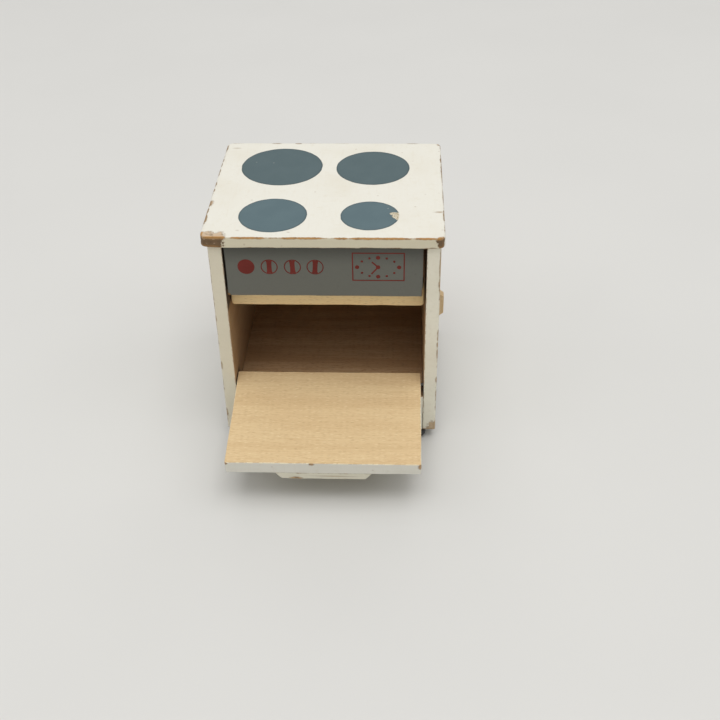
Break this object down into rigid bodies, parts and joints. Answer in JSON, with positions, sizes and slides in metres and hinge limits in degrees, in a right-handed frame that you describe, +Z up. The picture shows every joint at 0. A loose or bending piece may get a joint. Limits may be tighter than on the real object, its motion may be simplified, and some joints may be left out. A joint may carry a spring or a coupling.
{
  "type": "toy stove",
  "caption": "Small painted wooden doll's-house stove with printed hot plates and dials, a drop-down oven door on nail hinges and an open oven.",
  "frame": {"origin": "middle of the footprint's bounding box on the surface the feet stand on, with the oven door open as stored", "axes": "+Z up, front of the stove towards -Y, +X to the right seen from the front"},
  "size_m": [0.0868, 0.1126, 0.0908],
  "materials": {
    "cream_paint": "old cream paint on beech, satin, worn through at the edges",
    "grey_paint": "mid-grey satin paint with printed marks",
    "raw_beech": "bare sanded beech",
    "back_ply": "bare thin plywood",
    "plate_print": "blue-grey printed hot plates on the painted hob",
    "red_print": "red screen-printed dial and clock marks",
    "black_plastic": "moulded black glide",
    "steel_nail": "dull bright steel nail"
  },
  "bodies": {
    "cabinet": {"hob_top": "cream_paint", "left_side": "cream_paint", "right_side": "cream_paint", "front_plinth": "cream_paint", "control_panel": "grey_paint", "door_stop_rail": "raw_beech", "oven_floor": "raw_beech", "side_block": "raw_beech", "corner_block_front_left": "raw_beech", "corner_block_front_right": "raw_beech", "corner_block_rear_left": "raw_beech", "corner_block_rear_right": "raw_beech", "back_panel": "back_ply", "foot_front_left": "black_plastic", "foot_front_right": "black_plastic", "foot_rear_left": "black_plastic", "foot_rear_right": "black_plastic", "foot_nail_front_left": "steel_nail", "foot_nail_front_right": "steel_nail", "foot_nail_rear_left": "steel_nail", "foot_nail_rear_right": "steel_nail", "back_brad_left_1": "steel_nail", "back_brad_left_2": "steel_nail", "back_brad_left_3": "steel_nail", "back_brad_right_1": "steel_nail", "back_brad_right_2": "steel_nail", "back_brad_right_3": "steel_nail", "hinge_pin_left": "steel_nail", "hinge_pin_right": "steel_nail"},
    "door": {"oven_door": "raw_beech", "door_handle": "cream_paint"}
  },
  "joints": [
    {"name": "door_hinge", "type": "hinge", "parent": "cabinet", "child": "door", "pos_m": [-0.0004, -0.01499, 0.02425], "axis": [-1, 0, 0], "range_deg": [0, 98.9]}
  ]
}
